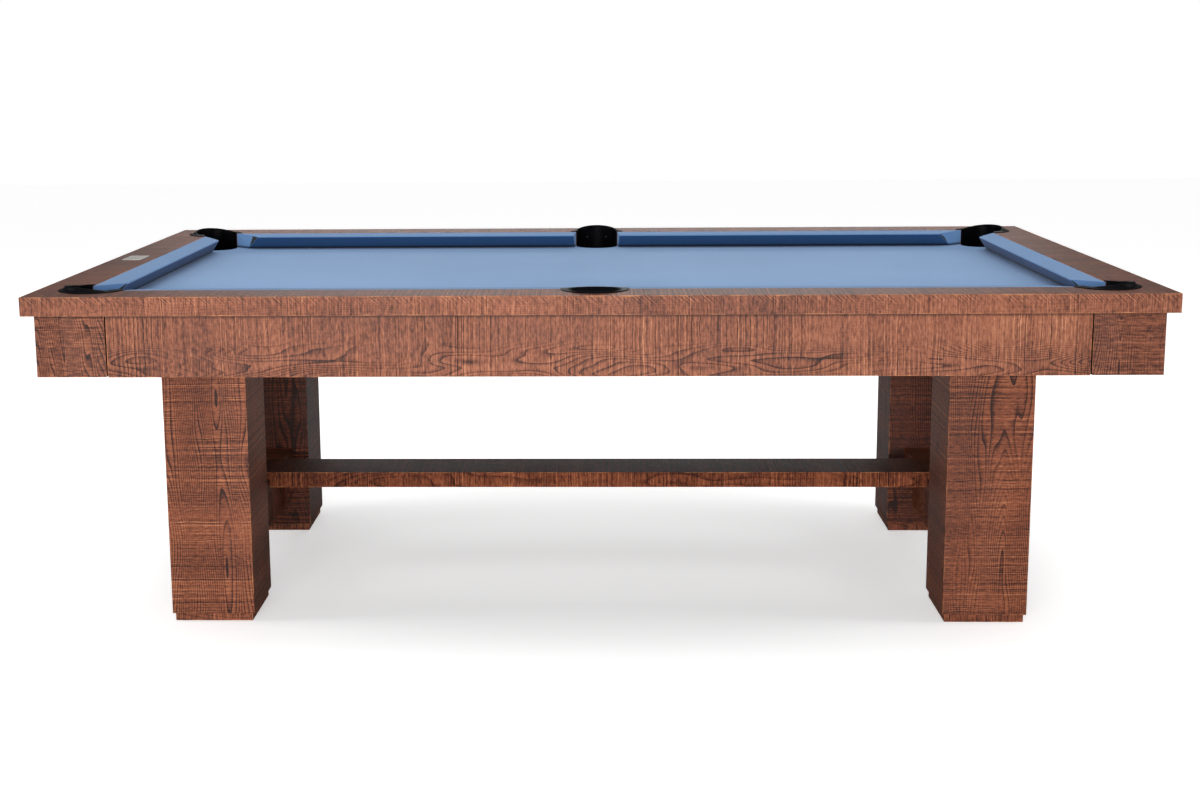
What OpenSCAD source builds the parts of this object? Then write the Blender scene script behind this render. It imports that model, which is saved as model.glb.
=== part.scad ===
// Eight-foot pocket billiard table with box legs and an H-shaped stretcher.
// X runs along the table, Y across it, Z up. The origin is on the floor under the centre.

/* [Playing field] */
// Length of the playing surface between the cushion noses
play_l = 2235; // [1850:5:2700]
// Width of the playing surface between the cushion noses
play_w = 1118; // [930:2:1350]
// Thickness of the slates
slate_t = 25; // [19:1:32]
// How far the slate runs past the nose line, under the rails
slate_reach = 76; // [70:1:92]
// Thickness of the wooden liner under the slates
backing_t = 19; // [15:1:25]
// Width of the strips of the wooden liner
backing_w = 80; // [60:1:95]
// Thickness of the bed cloth and of the cushion cloth
cloth_t = 1; // [0.8:0.1:1.4]

/* [Rails and cushions] */
// Height of the rail tops above the floor
table_h = 840; // [700:5:1010]
// Thickness of the rail caps
cap_t = 43; // [40:1:52]
// Width of the rail caps, from the wood line to the outer edge
cap_w = 109; // [100:1:140]
// Width of a cushion, from its nose to the wood line
cushion_w = 59; // [52:1:66]
// Height of the cushion nose above the bed
nose_h = 36.5; // [34:0.5:38]
// Width of the rubber, from the nose to the face of the sub-rail
rubber_w = 30; // [24:1:34]
// How far a sub-rail runs under the rail cap
sub_rail_reach = 41; // [30:1:48]
// Height of the part of a sub-rail that is under the rail cap
sub_rail_foot = 18; // [12:1:22]
// Thickness of the rubber facings at the pockets
facing_t = 3; // [2:0.5:5]
// Slant of the corner facings, away from square to the cushion
corner_slant = 52; // [46:1:54]
// Slant of the side facings, away from square to the cushion
side_slant = 6; // [4:1:14]
// Width of the feather strips that lock the cushion cloth
strip_w = 4; // [3:0.5:6]
// Depth of the feather strips
strip_h = 8; // [6:0.5:10]

/* [Pockets] */
// Inside radius of the pocket liners
pocket_r = 58; // [50:0.5:64]
// Wall thickness of the pocket liners
liner_t = 3; // [2:0.5:4]
// Gap between a liner and the slate or rail that it drops into
liner_gap = 1; // [0.5:0.1:2]
// Distance of a corner pocket's centre past both nose lines
corner_set = 39; // [34:1:44]
// Distance of a side pocket's centre past the nose line
side_set = 61; // [60:1:64]
// Width of the flange that lies on the rail, outside the liner wall
flange_w = 18; // [12:1:24]
// Thickness of the flange
flange_t = 3; // [2:0.5:4]
// Width of the raised collar round the mouth
collar_w = 8; // [6:0.5:12]
// Height of the collar above the rail at the ends of the mouth
collar_low = 5; // [4:0.5:8]
// Height of the collar above the rail at the back of the pocket
collar_high = 15; // [10:0.5:20]
// Depth of a pocket's floor below the bed
bucket_d = 137; // [110:1:137]

/* [Cabinet] */
// Height of the blinds
blind_h = 143; // [120:1:180]
// Thickness of the blinds and of the corner trims
blind_t = 22; // [18:1:26]
// How far the blinds stand back from the outer edge of the rails
blind_inset = 20; // [10:1:22]
// Length of each leg of a corner trim
trim_l = 159; // [130:1:190]
// Open joint between a blind and a corner trim
trim_gap = 4; // [1:0.5:6]
// How far the corner trims stand back from the face of the blinds
trim_set = 3; // [0:0.5:6]
// Side of the blocks inside the corner trims
corner_block = 20; // [15:1:22]
// Height of the frame beams under the slate
beam_h = 92; // [80:1:120]
// Thickness of the side and end beams
beam_t = 38; // [30:1:42]
// Distance from the nose line in to the outer face of the side beams
side_beam_in = 29; // [27:1:45]
// Distance from the nose line in to the outer face of the end beams
end_beam_in = 31; // [29:1:45]
// Thickness of the beams over the legs
leg_beam_t = 60; // [50:1:70]
// Thickness of the beams under the slate seams
seam_beam_t = 100; // [80:1:120]

/* [Legs] */
// Side of a leg
leg_w = 202; // [170:1:240]
// Distance from the outer edge of the end rails in to the legs
leg_in_x = 245; // [240:1:300]
// Distance from the outer edge of the long rails in to the legs
leg_in_y = 240; // [235:1:290]
// Thickness of the boards of a leg
leg_board = 25; // [20:1:32]
// Height of the blocks inside the top and the bottom of a leg
leg_block_h = 40; // [30:1:60]
// Height of the levelling shoes
shoe_h = 19.2; // [15:0.1:25]
// How far a shoe stands back from the faces of its leg
shoe_inset = 6; // [3:1:12]
// Radius of the levelling screws
screw_r = 8; // [6:0.5:10]
// Length of the levelling screws above the shoes
screw_l = 70; // [60:1:90]

/* [Stretcher] */
// Height of the top of the cross rails above the floor
cross_top = 248.5; // [200:0.5:300]
// Width of the caps of the cross rails
cross_cap_w = 113; // [90:1:140]
// Thickness of the caps of the cross rails
cross_cap_t = 39.5; // [30:0.5:50]
// Thickness of the panels of the cross rails
cross_panel_t = 58; // [40:1:70]
// Height of the panels of the cross rails
cross_panel_h = 130; // [100:1:150]
// Width of the long stretcher
stretcher_w = 150; // [120:1:190]
// Thickness of the long stretcher
stretcher_t = 40.5; // [35:0.5:50]
// Gap between the lower half of the stretcher and the cross rails
lap_gap = 5; // [1:0.5:8]

/* [Nameplate] */
// Length of the plate on the left rail
plate_l = 88; // [60:1:120]
// Width of the plate
plate_w = 50; // [30:1:60]
// Thickness of the plate
plate_t = 1.5; // [1:0.5:2]

/* [Fasteners] */
// Radius of the rail bolts
rail_bolt_r = 4; // [3:0.5:5]
// Distance of the rail bolts past the nose line
rail_bolt_set = 46; // [42:1:50]
// Radius of the leg bolts
leg_bolt_r = 5; // [4:0.5:6]
// Radius of the bolts that hold the cross rails to the legs
cross_bolt_r = 4; // [3:0.5:5]
// Radius of the frame screws
frame_screw_r = 3; // [2:0.5:4]
// Radius of the slate screws
slate_screw_r = 3; // [2:0.5:4]
// Radius of the small pan-head screws
small_screw_r = 2; // [1.5:0.5:2.5]
// Radial clearance of every fastener in its hole
hole_gap = 0.3; // [0.1:0.1:0.6]

/* [Hidden] */
$fn = 48;
CUT = 1;

// Heights
bed_z = table_h - cap_t;
slate_z = bed_z - cloth_t;
backing_z = slate_z - slate_t;
beam_z = backing_z - backing_t;
leg_top = beam_z - beam_h;
shoe_gap = 0.3;
leg_bottom = shoe_h + shoe_gap;
blind_z = bed_z - blind_h;
cushion_top = cap_t - 0.5;
nose_top = [2, nose_h + 2];
cushion_rise = (cushion_top - nose_top.y) / (cushion_w - nose_top.x);

// Plan, as half sizes
nose_x = play_l / 2;
nose_y = play_w / 2;
wood_x = nose_x + cushion_w;
wood_y = nose_y + cushion_w;
rail_x = wood_x + cap_w;
rail_y = wood_y + cap_w;
slate_x = nose_x + slate_reach;
slate_y = nose_y + slate_reach;
seam_x = round(slate_x / 3);
strip_clear = 8;
blind_x = rail_x - blind_inset;
blind_y = rail_y - blind_inset;
trim_x = blind_x - trim_set;
trim_y = blind_y - trim_set;

// Pockets
liner_r = pocket_r + liner_t;
cut_r = liner_r + liner_gap;
flange_r = liner_r + flange_w;
corner_x = nose_x + corner_set;
corner_y = nose_y + corner_set;
side_y = nose_y + side_set;
pocket_z = bed_z - bucket_d;
// Ends of the cushions on the wood line, just clear of the pocket cuts
end_gap = 0.4;
corner_end_x = corner_x - chord(wood_y - corner_y) - end_gap;
corner_end_y = corner_y - chord(wood_x - corner_x) - end_gap;
side_end_x = cut_r + end_gap;

// Frame
side_beam_y = nose_y - side_beam_in;
end_beam_x = nose_x - end_beam_in;
beam_in_y = side_beam_y - beam_t;

// Legs
leg_x = rail_x - leg_in_x - leg_w / 2;
leg_y = rail_y - leg_in_y - leg_w / 2;
leg_inner_y = leg_y - leg_w / 2;
leg_hollow = leg_w - 2 * leg_board;
leg_beam_margin = 20;
leg_beam_step = leg_w / 2 - leg_beam_t / 2 - leg_beam_margin;
leg_bolt_margin = 36;
leg_bolt_step = leg_hollow / 2 - leg_bolt_margin;

// Stretcher
cross_cap_z = cross_top - cross_cap_t;
cross_panel_z = cross_cap_z - cross_panel_h;
stretcher_lap = stretcher_t / 2;
stretcher_z = cross_top - stretcher_lap;
lap_end_x = leg_x - cross_cap_w / 2 - lap_gap;

// Fasteners
running_gap = 0.08;
rail_bolt_n = 3;
rail_bolt_margin = 120;
nut_plate = [40, 22, 6];
nut_recess = 8;
bolt_head_h = 6;
washer_t = 2;
leg_bolt_sink = 30;
leg_bolt_l = beam_h - leg_bolt_sink + leg_block_h;
cross_bolt_reach = 50;
frame_screw_reach = 45;
frame_screw_rise = beam_h / 4;
stretcher_screw_l = 55;
stretcher_screw_margin = 30;
stretcher_screw_y = stretcher_w / 2 - stretcher_screw_margin;
stretcher_screw_in = 14;
slate_screw_l = 75;
slate_screw_side = 15;
slate_head_r = 2.2 * slate_screw_r;
slate_head_h = 4;
small_screw_l = 20;
small_head_t = 1.6;
pocket_screw_z = bed_z + cap_t / 2;
pocket_screw_in = pocket_r - 0.3;
corner_screw_turns = [20, 70];
side_screw_turns = [60, 120];
bracket_leg = 40;
bracket_t = 3;
bracket_w = 30;
bracket_from_trim = 150;
corner_block_gap = 20;

// Half the chord of a pocket cut, at a distance from the pocket's centre
function chord(away) = sqrt(cut_r * cut_r - away * away);
// Places of n things spread evenly from a to b
function spread(a, b, n) = [for (i = [0 : n - 1]) a + (b - a) * i / (n - 1)];

// ---- Helpers ----

// A block between two corners
module block(low, high) {
    translate(low) cube(high - low);
}
// The children on the +Y side or, turned over, on the -Y side
module at_side(back) {
    mirror([0, back ? 0 : 1, 0]) children();
}
// The children at the +X end or, turned over, at the -X end
module at_end(right) {
    mirror([right ? 0 : 1, 0, 0]) children();
}
module both_sides() {
    for (back = [true, false]) at_side(back) children();
}
module both_ends() {
    for (right = [true, false]) at_end(right) children();
}
module quarters() {
    both_ends() both_sides() children();
}
// The round cuts that take the six pocket liners
module pocket_cuts(low, high) {
    quarters() translate([corner_x, corner_y, low]) cylinder(r = cut_r, h = high - low);
    both_sides() translate([0, side_y, low]) cylinder(r = cut_r, h = high - low);
}
// The pocket cuts in the bed, where a corner cut also takes the corner of the slate
module bed_cuts(low, high) {
    pocket_cuts(low, high);
    quarters() block([corner_x, corner_y, low], [slate_x + CUT, slate_y + CUT, high]);
}
// A hex-headed bolt that points up from its head's top face
module bolt_up(r, l) {
    cylinder(r = r, h = l);
    translate([0, 0, -bolt_head_h]) cylinder(r = 1.8 * r, h = bolt_head_h, $fn = 6);
}
// A screw that points along +Z, with a low round head behind the origin
module screw(r, l, head_t) {
    cylinder(r = r, h = l, $fn = 24);
    translate([0, 0, -head_t]) cylinder(r = 1.8 * r, h = head_t, $fn = 24);
}
// Places of the rail bolts, from the underside of the liner upwards
module rail_bolt_places() {
    for (x = spread(side_end_x + rail_bolt_margin, corner_end_x - rail_bolt_margin, rail_bolt_n))
        quarters() translate([x, nose_y + rail_bolt_set, 0]) children();
    for (y = spread(-corner_end_y + rail_bolt_margin, corner_end_y - rail_bolt_margin, rail_bolt_n))
        both_ends() translate([nose_x + rail_bolt_set, y, 0]) rotate(90) children();
}

// ---- Cushions ----

// Outline of a cushion: distance out from the nose line, then height above the bed.
// t is how far the outline lies inside the cloth's outer surface.
function cushion_outline(t, back, low) = [
    [0.9 * rubber_w + 1.3 * t, low],
    [1.2 + 1.1 * t, nose_h - 2],
    [t, nose_h],
    [nose_top.x, cloth_line(nose_top.x) - t],
    [back, cloth_line(back) - t],
    [back, low]
];
// Height of the cloth on top of a cushion, at a distance out from the nose line
function cloth_line(out) = nose_top.y + (out - nose_top.x) * cushion_rise;
// Plan of a long cushion in the +X +Y quarter, its ends drawn in by a gap square to them
module long_plan(gap, back) {
    side = gap / cos(side_slant);
    corner = gap / cos(corner_slant);
    polygon([
        [side_end_x + cushion_w * tan(side_slant) + side, nose_y - CUT],
        [side_end_x + side, wood_y],
        [side_end_x + side, nose_y + back],
        [corner_end_x - corner, nose_y + back],
        [corner_end_x - corner, wood_y],
        [corner_end_x - cushion_w * tan(corner_slant) - corner, nose_y - CUT]
    ]);
}
// Plan of the cushion at the +X end
module end_plan(gap, back) {
    corner = gap / cos(corner_slant);
    outer = corner_end_y - corner;
    inner = outer - cushion_w * tan(corner_slant);
    polygon([
        [nose_x - CUT, -inner], [wood_x, -outer], [nose_x + back, -outer],
        [nose_x + back, outer], [wood_x, outer], [nose_x - CUT, inner]
    ]);
}
// What lies inside an outline, along the +Y long rail
module long_section(outline) {
    translate([0, nose_y, bed_z]) rotate([90, 0, 90]) linear_extrude(rail_x) polygon(outline);
}
// What lies inside an outline, along the rail at the +X end
module end_section(outline) {
    translate([nose_x, rail_y, bed_z]) rotate([90, 0, 0]) linear_extrude(2 * rail_y) polygon(outline);
}
module long_block(gap, outline, back = cushion_w) {
    intersection() {
        long_section(outline);
        translate([0, 0, bed_z - CUT]) linear_extrude(cap_t + 2 * CUT) long_plan(gap, back);
    }
}
module end_block(gap, outline, back = cushion_w) {
    intersection() {
        end_section(outline);
        translate([0, 0, bed_z - CUT]) linear_extrude(cap_t + 2 * CUT) end_plan(gap, back);
    }
}
// The cloth: a skin over the front, the top and both ends of a cushion
module long_cloth() {
    color("lightsteelblue") difference() {
        long_block(0, cushion_outline(0, cushion_w, 1));
        long_block(cloth_t, cushion_outline(cloth_t, cushion_w + CUT, -CUT), cushion_w + CUT);
    }
}
module end_cloth() {
    color("lightsteelblue") difference() {
        end_block(0, cushion_outline(0, cushion_w, 1));
        end_block(cloth_t, cushion_outline(cloth_t, cushion_w + CUT, -CUT), cushion_w + CUT);
    }
}
module cushion_front_left() at_end(false) at_side(false) long_cloth();
module cushion_front_right() at_end(true) at_side(false) long_cloth();
module cushion_back_left() at_end(false) at_side(true) long_cloth();
module cushion_back_right() at_end(true) at_side(true) long_cloth();
module cushion_left() at_end(false) end_cloth();
module cushion_right() at_end(true) end_cloth();

// The rubber lies between the nose and the face of the sub-rail
module cushion_rubbers() {
    outline = cushion_outline(cloth_t, cushion_w, 1);
    gap = cloth_t + facing_t;
    color("dimgray") {
        quarters() intersection() {
            long_block(gap, outline);
            block([0, nose_y, bed_z], [rail_x, nose_y + rubber_w, table_h]);
        }
        both_ends() intersection() {
            end_block(gap, outline);
            block([nose_x, -rail_y, bed_z], [nose_x + rubber_w, rail_y, table_h]);
        }
    }
}
// Outline of a sub-rail: a raised front that carries the rubber, with a slot for the
// feather strip, and a foot under the rail cap
function sub_rail_outline() =
    let (slot = cushion_w - strip_w, slot_top = cloth_line(slot) - cloth_t) [
        [rubber_w, 0],
        [rubber_w, cloth_line(rubber_w) - cloth_t],
        [slot, slot_top],
        [slot, slot_top - strip_h],
        [cushion_w, slot_top - strip_h],
        [cushion_w, sub_rail_foot],
        [cushion_w + sub_rail_reach, sub_rail_foot],
        [cushion_w + sub_rail_reach, 0]
    ];
module sub_rails() {
    gap = cloth_t + facing_t;
    reach = cushion_w + sub_rail_reach;
    color("burlywood") difference() {
        union() {
            quarters() long_block(gap, sub_rail_outline(), reach);
            both_ends() end_block(gap, sub_rail_outline(), reach);
        }
        rail_bolt_places() {
            translate([0, 0, bed_z - CUT])
                cylinder(r = rail_bolt_r + hole_gap, h = CUT + nut_recess + 2 * nut_plate.z);
            nut_recess_cut();
        }
    }
}
// The recess for a nut plate, in the underside of a sub-rail
module nut_recess_cut() {
    half = [nut_plate.x / 2 + hole_gap, nut_plate.y / 2 + hole_gap];
    block([-half.x, -half.y, bed_z - CUT], [half.x, half.y, bed_z + nut_recess]);
}
module rail_nut_plates() {
    color("silver") rail_bolt_places() translate([0, 0, bed_z + nut_recess - nut_plate.z]) difference() {
        translate([-nut_plate.x / 2, -nut_plate.y / 2, 0]) cube(nut_plate);
        translate([0, 0, -CUT]) cylinder(r = rail_bolt_r + hole_gap, h = nut_plate.z + 2 * CUT);
    }
}
module rail_bolts() {
    color("silver") rail_bolt_places() translate([0, 0, beam_z - washer_t]) {
        bolt_up(rail_bolt_r, washer_t + bed_z - beam_z + nut_recess + nut_plate.z);
        cylinder(r = 2.6 * rail_bolt_r, h = washer_t);
    }
}
// Rubber pads on the ends of the cushions, under the cloth
module cushion_facings() {
    outline = cushion_outline(cloth_t, cushion_w, 1);
    deeper = cushion_outline(0, cushion_w + CUT, -CUT);
    color("black") {
        quarters() difference() {
            long_block(cloth_t, outline);
            long_block(cloth_t + facing_t, deeper, cushion_w + CUT);
        }
        both_ends() difference() {
            end_block(cloth_t, outline);
            end_block(cloth_t + facing_t, deeper, cushion_w + CUT);
        }
    }
}
// Outline of a feather strip in its slot
function strip_outline() =
    let (slot = cushion_w - strip_w, slot_top = cloth_line(slot) - cloth_t) [
        [slot, slot_top],
        [cushion_w, slot_top],
        [cushion_w, slot_top - strip_h],
        [slot, slot_top - strip_h]
    ];
module feather_strips() {
    gap = cloth_t + facing_t;
    color("saddlebrown") {
        quarters() long_block(gap, strip_outline());
        both_ends() end_block(gap, strip_outline());
    }
}

// ---- Rail caps ----

// Pilot holes for the small screws that hold the pocket liners
module pocket_screw_places() {
    quarters() for (a = corner_screw_turns) translate([corner_x, corner_y, pocket_screw_z]) rotate([0, 90, a])
        translate([0, 0, pocket_screw_in]) children();
    both_sides() for (a = side_screw_turns) translate([0, side_y, pocket_screw_z]) rotate([0, 90, a])
        translate([0, 0, pocket_screw_in]) children();
}
module pocket_screw_cuts() {
    pocket_screw_places() translate([0, 0, -CUT])
        cylinder(r = small_screw_r + hole_gap, h = small_screw_l + 2 * CUT, $fn = 24);
}
// Pilot holes for the screws of the blind brackets, in the underside of the rail caps
module bracket_pilots() {
    bracket_places() bracket_screw_spots()
        translate([0, 0, -CUT]) cylinder(r = small_screw_r + hole_gap, h = small_screw_l + CUT, $fn = 24);
}
// The rebate in a cap for the foot of the sub-rails
module sub_rail_rebates() {
    foot = cushion_w + sub_rail_reach;
    quarters() translate([0, 0, bed_z - CUT]) linear_extrude(CUT + sub_rail_foot)
        intersection() {
            long_plan(cloth_t + facing_t, foot);
            translate([0, wood_y - CUT]) square([rail_x, cap_w]);
        }
    both_ends() translate([0, 0, bed_z - CUT]) linear_extrude(CUT + sub_rail_foot)
        intersection() {
            end_plan(cloth_t + facing_t, foot);
            translate([wood_x - CUT, -rail_y]) square([cap_w, 2 * rail_y]);
        }
}
module cap_cuts() {
    pocket_cuts(bed_z - CUT, table_h + CUT);
    sub_rail_rebates();
    pocket_screw_cuts();
    bracket_pilots();
}
// The long cap is mitred at both ends and runs past the side pocket in one piece
module long_cap() {
    color("sienna") difference() {
        translate([0, 0, bed_z]) linear_extrude(cap_t) polygon([
            [-rail_x, rail_y], [-wood_x, wood_y], [wood_x, wood_y], [rail_x, rail_y]
        ]);
        cap_cuts();
    }
}
module end_cap() {
    color("sienna") difference() {
        translate([0, 0, bed_z]) linear_extrude(cap_t) polygon([
            [rail_x, -rail_y], [rail_x, rail_y], [wood_x, wood_y], [wood_x, -wood_y]
        ]);
        cap_cuts();
    }
}
module rail_cap_front() at_side(false) long_cap();
module rail_cap_back() at_side(true) long_cap();
module rail_cap_left() at_end(false) end_cap();
module rail_cap_right() at_end(true) end_cap();

// A plain plate, let down on the left rail
module nameplate() {
    middle = wood_x + 0.5 * cap_w;
    color("silver") block(
        [-middle - plate_w / 2, -plate_l / 2, table_h],
        [-middle + plate_w / 2, plate_l / 2, table_h + plate_t]
    );
}

// ---- Bed ----

module slate(x0, x1) {
    color("slategray") difference() {
        block([x0, -slate_y, backing_z], [x1, slate_y, slate_z]);
        bed_cuts(backing_z - CUT, slate_z + CUT);
        rail_bolt_places() translate([0, 0, backing_z - CUT])
            cylinder(r = rail_bolt_r + hole_gap, h = slate_t + 2 * CUT);
        slate_screw_places() slate_screw(hole_gap, CUT);
    }
}
module slate_left() slate(-slate_x, -seam_x);
module slate_middle() slate(-seam_x, seam_x);
module slate_right() slate(seam_x, slate_x);

// Strips of wood glued under the edges of each slate, clear of the pockets
module slate_backing() {
    gap = hole_gap;
    in_x = slate_x - backing_w;
    in_y = slate_y - backing_w;
    color("tan") difference() {
        both_ends() {
            clear_y = corner_y - cut_r - strip_clear;
            strip([in_x + gap, -clear_y], [slate_x, clear_y]);
            for (x = [seam_x - backing_w, seam_x])
                strip([x + gap, -slate_y], [x + backing_w - gap, slate_y]);
            both_sides() {
                strip([seam_x + backing_w, in_y], [corner_x - cut_r - strip_clear, slate_y]);
                strip([cut_r + strip_clear, in_y], [seam_x - backing_w, slate_y]);
            }
        }
        rail_bolt_places() translate([0, 0, beam_z - CUT])
            cylinder(r = rail_bolt_r + hole_gap, h = backing_t + 2 * CUT);
        slate_screw_places() slate_screw(hole_gap, 0);
    }
}
// One strip of the liner, by two corners of its plan
module strip(low, high) {
    block([low.x, low.y, beam_z], [high.x, high.y, backing_z]);
}
// Places of the slate screws: over the end beams and on both sides of the seams
module slate_screw_places() {
    beside_seam = seam_beam_t / 4;
    for (x = [end_beam_x - beam_t / 2, seam_x + beside_seam, seam_x - beside_seam])
        for (y = [beam_in_y - frame_screw_reach - slate_screw_side, 0])
            quarters() translate([x, y, slate_z]) children();
}
// A countersunk screw that points down from the slate's top face
module slate_screw(gap, above) {
    head_r = slate_head_r + gap;
    head_h = slate_head_h + gap;
    translate([0, 0, -slate_screw_l - gap]) cylinder(r = slate_screw_r + gap, h = slate_screw_l);
    translate([0, 0, -head_h]) cylinder(r1 = slate_screw_r + gap, r2 = head_r, h = head_h);
    if (above > 0) cylinder(r = head_r, h = above);
}
module slate_screws() {
    color("silver") slate_screw_places() slate_screw(0, 0);
}
module bed_cloth() {
    color("lightsteelblue") difference() {
        block([-slate_x, -slate_y, slate_z], [slate_x, slate_y, bed_z]);
        bed_cuts(slate_z - CUT, bed_z + CUT);
        rail_bolt_places() translate([0, 0, slate_z - CUT])
            cylinder(r = rail_bolt_r + hole_gap, h = cloth_t + 2 * CUT);
    }
}

// ---- Pockets ----

// The outside of a liner whose mouth has its back towards +Y: the wall, the flange that
// lies on the rail, and a collar whose top slopes up to the back
module liner_body() {
    run = 2 * flange_r;
    slope = atan((collar_high - collar_low) / run);
    translate([0, 0, pocket_z]) cylinder(r = liner_r, h = table_h - pocket_z + flange_t, $fn = 96);
    translate([0, 0, table_h]) cylinder(r = flange_r, h = flange_t, $fn = 96);
    translate([0, 0, table_h]) intersection() {
        cylinder(r = pocket_r + collar_w, h = 2 * collar_high, $fn = 96);
        translate([0, -flange_r, collar_low]) rotate([slope, 0, 0])
            translate([-run, -run, -run]) cube([2 * run, 3 * run, run]);
    }
}
// Above the bed a liner is open towards the field: the corner of the opening lies at
// the given offset from the liner's centre
module liner(centre, turn, opening) {
    reach = 2 * flange_r;
    color("dimgray") difference() {
        translate(centre) difference() {
            rotate(turn) liner_body();
            translate([0, 0, pocket_z + liner_t]) cylinder(r = pocket_r, h = table_h, $fn = 96);
            translate([-reach, -reach, bed_z]) cube([reach + opening.x, reach + opening.y, table_h]);
        }
        pocket_screw_cuts();
    }
}
module corner_pocket() {
    liner([corner_x, corner_y, 0], -45, [wood_x - corner_x, wood_y - corner_y]);
}
module side_pocket() {
    liner([0, side_y, 0], 0, [2 * flange_r, wood_y - side_y]);
}
module pocket_front_left() at_end(false) at_side(false) corner_pocket();
module pocket_front_middle() at_side(false) side_pocket();
module pocket_front_right() at_end(true) at_side(false) corner_pocket();
module pocket_back_left() at_end(false) at_side(true) corner_pocket();
module pocket_back_middle() at_side(true) side_pocket();
module pocket_back_right() at_end(true) at_side(true) corner_pocket();

// ---- Cabinet ----

module long_blind() {
    half = blind_x - trim_set - trim_l - trim_gap;
    color("sienna") difference() {
        block([-half, blind_y - blind_t, blind_z], [half, blind_y, bed_z]);
        bracket_pilots_side();
    }
}
module end_blind() {
    half = blind_y - trim_set - trim_l - trim_gap;
    color("sienna") difference() {
        block([blind_x - blind_t, -half, blind_z], [blind_x, half, bed_z]);
        bracket_pilots_side();
    }
}
module blind_front() at_side(false) long_blind();
module blind_back() at_side(true) long_blind();
module blind_left() at_end(false) end_blind();
module blind_right() at_end(true) end_blind();

module corner_trim() {
    color("saddlebrown") difference() {
        block([trim_x - trim_l, trim_y - trim_l, blind_z], [trim_x, trim_y, bed_z]);
        block(
            [trim_x - trim_l - CUT, trim_y - trim_l - CUT, blind_z - CUT],
            [trim_x - blind_t, trim_y - blind_t, bed_z + CUT]
        );
    }
}
module corner_trim_front_left() at_end(false) at_side(false) corner_trim();
module corner_trim_front_right() at_end(true) at_side(false) corner_trim();
module corner_trim_back_left() at_end(false) at_side(true) corner_trim();
module corner_trim_back_right() at_end(true) at_side(true) corner_trim();

// Blocks that join the corner trims to the rails
module corner_blocks() {
    x = trim_x - blind_t;
    y = trim_y - blind_t;
    color("tan") quarters()
        block([x - corner_block, y - corner_block, blind_z + corner_block_gap], [x, y, bed_z]);
}
// Places of the brackets: the inner top edge of a blind, with +Y towards the outside
module bracket_places() {
    far = blind_x - trim_set - trim_l - trim_gap - bracket_from_trim;
    for (x = [far, far / 3]) quarters() translate([x, blind_y - blind_t, bed_z]) children();
    for (y = [-1, 1]) both_ends()
        translate([blind_x - blind_t, y * (blind_y - trim_l) / 2, bed_z]) rotate(-90) children();
}
// Places of the two screws in the upper leg, pointing up
module bracket_screw_spots() {
    for (x = [-bracket_w / 4, bracket_w / 4]) translate([x, -bracket_leg / 2, 0]) children();
}
// Places of the two screws in the lower leg, pointing out into the blind
module bracket_side_spots() {
    for (x = [-bracket_w / 4, bracket_w / 4])
        translate([x, 0, -bracket_leg / 2]) rotate([-90, 0, 0]) children();
}
module bracket_pilots_side() {
    bracket_places() bracket_side_spots()
        translate([0, 0, -CUT]) cylinder(r = small_screw_r + hole_gap, h = CUT + small_screw_l, $fn = 24);
}
module blind_brackets() {
    half = bracket_w / 2;
    hole = small_screw_r + hole_gap;
    color("silver") bracket_places() difference() {
        block([-half, -bracket_leg, -bracket_leg], [half, 0, 0]);
        block([-half - CUT, -bracket_leg - CUT, -bracket_leg - CUT], [half + CUT, -bracket_t, -bracket_t]);
        bracket_screw_spots() translate([0, 0, -bracket_t - CUT])
            cylinder(r = hole, h = bracket_t + 2 * CUT, $fn = 24);
        bracket_side_spots() translate([0, 0, -bracket_t - CUT])
            cylinder(r = hole, h = bracket_t + 2 * CUT, $fn = 24);
    }
}
// The pan-head screws that hold the pocket liners and the brackets
module small_screws() {
    color("silver") {
        pocket_screw_places() screw(small_screw_r, small_screw_l, small_head_t);
        bracket_places() {
            bracket_screw_spots() translate([0, 0, -bracket_t])
                screw(small_screw_r, small_screw_l, small_head_t);
            bracket_side_spots() translate([0, 0, -bracket_t])
                screw(small_screw_r, small_screw_l, small_head_t);
        }
    }
}

// ---- Frame ----

// Middles of the beams that run across the table, with their thickness
function cross_beams() = [
    [end_beam_x - beam_t / 2, beam_t],
    [leg_x + leg_beam_step, leg_beam_t],
    [leg_x - leg_beam_step, leg_beam_t],
    [seam_x, seam_beam_t]
];
module frame_beams() {
    gap = hole_gap;
    color("burlywood") difference() {
        union() {
            both_sides() block([-end_beam_x, beam_in_y, leg_top], [end_beam_x, side_beam_y, beam_z]);
            for (beam = cross_beams()) both_ends() block(
                [beam[0] - beam[1] / 2, -beam_in_y + gap, leg_top],
                [beam[0] + beam[1] / 2, beam_in_y - gap, beam_z]
            );
        }
        leg_bolt_places() {
            translate([0, 0, -CUT]) cylinder(r = leg_bolt_r + hole_gap, h = beam_h + 2 * CUT);
            translate([0, 0, beam_h - leg_bolt_sink]) cylinder(r = 2.4 * leg_bolt_r, h = beam_h);
        }
        frame_screw_places() translate([0, 0, -CUT])
            cylinder(r = frame_screw_r + hole_gap, h = beam_t + frame_screw_reach + 2 * CUT, $fn = 24);
        slate_screw_places() slate_screw(hole_gap, 0);
    }
}
// Places of the leg bolts, at the top of the legs, pointing up
module leg_bolt_places() {
    quarters() for (x = [-leg_beam_step, leg_beam_step], y = [-leg_bolt_step, leg_bolt_step])
        translate([leg_x + x, leg_y + y, leg_top]) children();
}
// Two screws through a side beam into each end of each cross beam, pointing inwards
module frame_screw_places() {
    for (beam = cross_beams(), z = [frame_screw_rise, beam_h - frame_screw_rise])
        quarters() translate([beam[0], side_beam_y, leg_top + z]) rotate([90, 0, 0]) children();
}
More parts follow.
